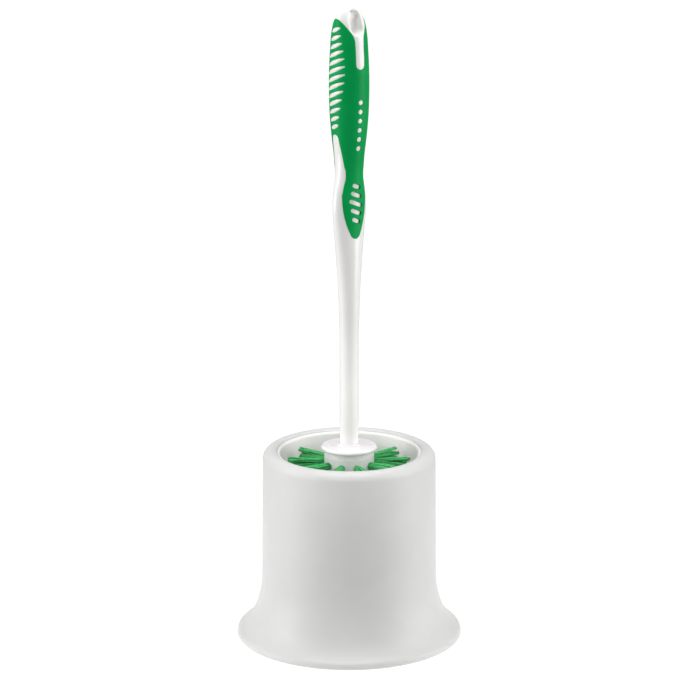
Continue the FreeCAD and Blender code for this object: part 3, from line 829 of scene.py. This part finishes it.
def sample(field, row, column):
    """Read a grid field between its points, up to just inside the last row and column."""
    row = np.clip(row, 0, field.shape[0] - 1.001)
    column = np.clip(column, 0, field.shape[1] - 1.001)
    i, j = row.astype(int), column.astype(int)
    u, v = row - i, column - j
    return ((field[i, j] * (1 - u) + field[i + 1, j] * u) * (1 - v)
            + (field[i, j + 1] * (1 - u) + field[i + 1, j + 1] * u) * v)


def surface_point(spots, lift):
    """The points at fractional rows and columns of the grid, raised by a lift."""
    row, column = spots.T
    place = np.interp(row, np.arange(len(PLACES)), PLACES)
    return FORM.point(place, column * 2 * pi / GRIP_COLUMNS, lift)


class Cut:
    """The part of the grid where a field is above a level, cut cleanly along that level.

    spots holds each vertex's row and column, index finds a vertex by its grid corner, faces
    are the cells, and loops are the closed rows of vertices along the cut.
    """

    # A cut stays this share of a cell's side away from the cell's corners.
    MARGIN = 0.04

    def __init__(self, field, level, rows):
        self.spots = []
        self.index = {}
        self.faces = []
        self.edges = []
        above = field - level
        for row in rows:
            for column in range(GRIP_COLUMNS):
                self.add_cell(above, row, column)
        self.spots = np.array(self.spots)
        self.loops = self.trace()

    def vertex(self, key, row, column):
        if key not in self.index:
            self.index[key] = len(self.spots)
            self.spots.append((row, column % GRIP_COLUMNS))
        return self.index[key]

    def add_cell(self, above, row, column):
        corners = [(row, column), (row, column + 1), (row + 1, column + 1), (row + 1, column)]
        values = [above[corner] for corner in corners]
        if max(values) <= 0:
            return
        face = []
        crossings = []
        for index in range(4):
            (i, j), value = corners[index], values[index]
            (k, m), following = corners[(index + 1) % 4], values[(index + 1) % 4]
            here = (i, j % GRIP_COLUMNS)
            there = (k, m % GRIP_COLUMNS)
            if value > 0:
                face.append(self.vertex(here, i, j))
            if (value > 0) != (following > 0):
                share = min(max(value / (value - following), self.MARGIN), 1 - self.MARGIN)
                key = ("cut", *sorted([here, there]))
                cut = self.vertex(key, i + (k - i) * share, j + (m - j) * share)
                face.append(cut)
                crossings.append((cut, value > 0))
        self.faces.append(tuple(face))
        for index, (cut, leaves) in enumerate(crossings):
            if leaves:
                self.edges.append((cut, crossings[(index + 1) % len(crossings)][0]))

    def trace(self):
        """Join the cut edges into closed loops."""
        following = dict(self.edges)
        loops = []
        while following:
            start, after = following.popitem()
            loop = [start]
            while after != start:
                loop.append(after)
                after = following.pop(after)
            loops.append(loop)
        return loops


# A field's least slope, so that a flat place doesn't divide by nothing.
NO_SLOPE = 1e-6


def outward(field, spots):
    """Grid directions in which a field falls by one millimetre."""
    step = 0.5
    # Three turns of the field, so that it can be read past the first and last column.
    wrapped = np.concatenate([field[:, :-1]] * 3 + [field[:, :1]], axis=1)
    slopes = []
    sizes = []
    for move in ((step, 0), (0, step)):
        before, after = spots - move, spots + move
        fall = (sample(wrapped, before[:, 0], before[:, 1] + GRIP_COLUMNS)
                - sample(wrapped, after[:, 0], after[:, 1] + GRIP_COLUMNS))
        sizes.append(np.linalg.norm(surface_point(after, 0) - surface_point(before, 0), axis=1))
        slopes.append(fall / sizes[-1])
    steepest = np.maximum(np.hypot(*slopes), NO_SLOPE)
    return np.stack([slope / steepest / size for slope, size in zip(slopes, sizes)], 1)


def roll(radius, top, steps):
    """How far out and how high each ring of a rounded edge lies."""
    for step in range(1, steps + 1):
        angle = pi / 2 * step / steps
        yield radius * sin(angle), top - radius * (1 - cos(angle))


def rolled_edges(cut, field, rolling, total):
    """Carry each loop of a cut over its edge: the new vertices, and the rings of each loop."""
    vertices = []
    loops = []
    for loop in cut.loops:
        edge = cut.spots[loop]
        away = outward(field, edge)
        rings = [loop]
        for out, lift in rolling:
            vertices.append(surface_point(edge + away * out, np.full(len(loop), lift)))
            rings.append(list(range(total, total + len(loop))))
            total += len(loop)
        loops.append(rings)
    return vertices, loops


def strips(rings):
    """Faces between rings of equal length, each ring a closed loop."""
    faces = []
    size = len(rings[0])
    for near, far in zip(rings, rings[1:]):
        for index in range(size):
            after = (index + 1) % size
            faces.append((near[after], near[index], far[index], far[after]))
    return faces


# ---------------------------------------------------------- grip: the two parts
# The sleeve's skin stands proud of the form, rolls over at its edges and goes down to a seat.
PROUD = 0.3
SLEEVE_ROLL = 0.5
SEAT = -1.15
# The sleeve lies between these two heights.
SLEEVE_FOOT = LEAF_TIP - 1.5
SLEEVE_TOP = 415
HOLE_ROLL = 1.5


def grip_sleeve():
    """The rubber sleeve: a skin that stands a little proud, rolled over at every edge."""
    first_row = int(np.searchsorted(PLACES, FORM.place_of(SLEEVE_FOOT)))
    last_row = int(np.searchsorted(PLACES, FORM.place_of(SLEEVE_TOP)))
    cut = Cut(SLEEVE, SLEEVE_ROLL, range(first_row, last_row))
    count = len(cut.spots)
    top = surface_point(cut.spots, np.full(count, PROUD))
    bottom = surface_point(cut.spots, np.full(count, SEAT))
    faces = list(cut.faces)
    faces += [tuple(vertex + count for vertex in reversed(face)) for face in cut.faces]
    rolling = [*roll(SLEEVE_ROLL, PROUD, steps=4), (SLEEVE_ROLL, SEAT)]
    rolled, loops = rolled_edges(cut, SLEEVE, rolling, 2 * count)
    for rings in loops:
        rings.append([vertex + count for vertex in rings[0]])
        faces += strips(rings)
    points = np.concatenate([top, bottom, *rolled])
    sleeve = new_object("rubber_sleeve", points, faces, GRIP_GREEN)
    stand_for(sleeve, "brush", "grip_sleeve")


def soft_step(value, low, high):
    """Climb smoothly from 0 at low to 1 at high."""
    t = np.clip((value - low) / (high - low), 0, 1)
    return t * t * (3 - 2 * t)


def core_lift():
    """How far the core's surface lies off the form: seated under the sleeve and in the slots,
    a little crowned in the ribs.
    """
    sleeve_seat = 1.0
    slot_floor = 0.9
    rib_crown = 0.25
    seat = -sleeve_seat * soft_step(SLEEVE, 0.35, 0.85)
    slots = -slot_floor * soft_step(SLOTS, -0.9, -0.5)
    ribs = rib_crown * soft_step(RIBS, 0.0, 0.9)
    return np.minimum(seat, slots) + ribs


def handle():
    """The hard core: shaft, grip and dome, pierced by the rounded hang hole."""
    lift = core_lift()
    last = len(PLACES) - 1
    cut = Cut(-HOLE, HOLE_ROLL, range(last))
    wrapped = np.concatenate([lift[:, :-1], lift[:, :1]], axis=1)
    skin = surface_point(cut.spots, sample(wrapped, *cut.spots.T))
    tip = np.array([[0, 0, SECTIONS[-1][0]]])
    tip_index = len(skin)
    faces = list(cut.faces)
    top_ring = [cut.index[(last, column)] for column in range(GRIP_COLUMNS)]
    for index in range(GRIP_COLUMNS):
        faces.append((top_ring[index], top_ring[(index + 1) % GRIP_COLUMNS], tip_index))
    foot_ring = [cut.index[(0, column)] for column in range(GRIP_COLUMNS)]
    faces.append(tuple(reversed(foot_ring)))
    rolling = list(roll(HOLE_ROLL, 0, steps=6))
    rolled, loops = rolled_edges(cut, -HOLE, rolling, tip_index + 1)
    for rings in loops:
        faces += strips(rings)
    points = np.concatenate([skin, tip, *rolled])
    faces += bridge(points, [rings[-1] for rings in loops])
    core = new_object("handle_core", points, faces, HANDLE_WHITE)
    stand_for(core, "brush", "handle")


def bridge(points, walls):
    """Join the front and back loops of the hang hole with its wall."""
    front, back = sorted(walls, key=lambda ring: points[ring][:, 1].mean())
    back_points = points[back]
    match = []
    for vertex in front:
        gap = np.hypot(back_points[:, 0] - points[vertex][0], back_points[:, 2] - points[vertex][2])
        match.append(back[int(np.argmin(gap))])
    faces = []
    for index in range(len(front)):
        after = (index + 1) % len(front)
        add_face(faces, (front[after], front[index], match[index], match[after]))
    return faces


# --------------------------------------------------------------- camera, stage
CAMERA_TURN = radians(-36.5)
CAMERA_DISTANCE = 1.770
CAMERA_HEIGHT = 0.658
CAMERA_PITCH = radians(14.67)
CAMERA_YAW = radians(-0.018)
CAMERA_LENS = 143.65
ROOM_STRENGTH = 0.2
BACKGROUND_STRENGTH = 1.05
FLOOR_RADIUS = 500


def bearing(turn, distance, height):
    """A place round the object. Its turn is measured from the camera's direction."""
    angle = CAMERA_TURN + radians(turn)
    return Vector((sin(angle) * distance, -cos(angle) * distance, height))


def add_camera():
    """The camera stands to the left of the grip's front and looks a little down."""
    data = bpy.data.cameras.new("camera")
    data.sensor_width = 36
    data.lens = CAMERA_LENS
    camera = bpy.data.objects.new("camera", data)
    bpy.context.scene.collection.objects.link(camera)
    camera.location = bearing(0, CAMERA_DISTANCE, CAMERA_HEIGHT)
    camera.rotation_euler = (pi / 2 - CAMERA_PITCH, 0, CAMERA_TURN + CAMERA_YAW)
    bpy.context.scene.camera = camera


def add_light(data, place, aim):
    """Put a light into the scene, so that it shines from a place towards a point."""
    light = bpy.data.objects.new(data.name, data)
    bpy.context.scene.collection.objects.link(light)
    light.location = place
    light.rotation_euler = (aim - light.location).to_track_quat("-Z", "Y").to_euler()
    return light


def add_softbox(name, place, aim_height, width, tall, power):
    """A rectangular light that is aimed at the object's axis."""
    data = bpy.data.lights.new(name, "AREA")
    data.shape = "RECTANGLE"
    data.size = width
    data.size_y = tall
    data.energy = power
    add_light(data, place, Vector((0, 0, aim_height)))


def add_snoot():
    """A narrow soft spot from in front, twice as wide as tall, into the mouth of the caddy."""
    data = bpy.data.lights.new("snoot", "SPOT")
    data.energy = 28
    data.spot_size = radians(3.2)
    data.spot_blend = 0.6
    data.shadow_soft_size = 0.06
    light = add_light(data, bearing(0, 1.0, 0.62), bearing(0, -0.014, 0.122))
    light.scale = (2, 1, 1)


def add_world():
    """A dim white room. The camera sees it brighter, as the photo's white background."""
    world = bpy.data.worlds.new("studio")
    world.use_nodes = True
    tree = world.node_tree
    room = tree.nodes["Background"]
    seen = tree.nodes.new("ShaderNodeBackground")
    for background, strength in ((room, ROOM_STRENGTH), (seen, BACKGROUND_STRENGTH)):
        background.inputs["Color"].default_value = (1, 1, 1, 1)
        background.inputs["Strength"].default_value = strength
    path = tree.nodes.new("ShaderNodeLightPath")
    mix = tree.nodes.new("ShaderNodeMixShader")
    tree.links.new(path.outputs["Is Camera Ray"], mix.inputs["Fac"])
    tree.links.new(room.outputs["Background"], mix.inputs[1])
    tree.links.new(seen.outputs["Background"], mix.inputs[2])
    tree.links.new(mix.outputs["Shader"], tree.nodes["World Output"].inputs["Surface"])
    bpy.context.scene.world = world


def add_lights():
    """A tall softbox on each side, a wide one above, a spot from in front, and the room."""
    for name, turn, power in (("left_softbox", -78, 13.5), ("right_softbox", 82, 12)):
        add_softbox(name, bearing(turn, 1.3, 0.5), aim_height=0.25, width=0.7, tall=1.3,
                    power=power)
    add_softbox("top_softbox", bearing(0, 0.05, 1.7), aim_height=0.1, width=1.2, tall=1.2,
                power=22)
    add_snoot()
    add_world()


def add_floor():
    """A plain pale floor, lit from inside like a light table."""
    kit = Nodes("studio_floor")
    kit.colours(kit.noise(scale=3, detail=2), dark=(0.14, 0.14, 0.14), light=(0.16, 0.16, 0.16))
    kit.put("Roughness", 0.8)
    kit.put("Emission Color", (1, 1, 1, 1))
    kit.put("Emission Strength", 0.95)
    kit.put("Specular IOR Level", 0.0)
    profile = [(0, 0), (FLOOR_RADIUS / 5, 0), (FLOOR_RADIUS, 0)]
    floor = lathe("floor", profile, segments=96, material=kit.material, closed=False)


# ------------------------------------------------------------------------ main
def main():
    add_camera()
    caddy_shell()
    drip_cup()
    head_core()
    all_tufts()
    handle()
    grip_sleeve()
    # The anchors keep their CAD mesh and only get a material.
    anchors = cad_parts["tuft_anchors"]
    anchors.data.materials.clear()
    anchors.data.materials.append(STEEL)
    add_lights()
    add_floor()
    bpy.context.scene.view_settings.view_transform = "Standard"


main()
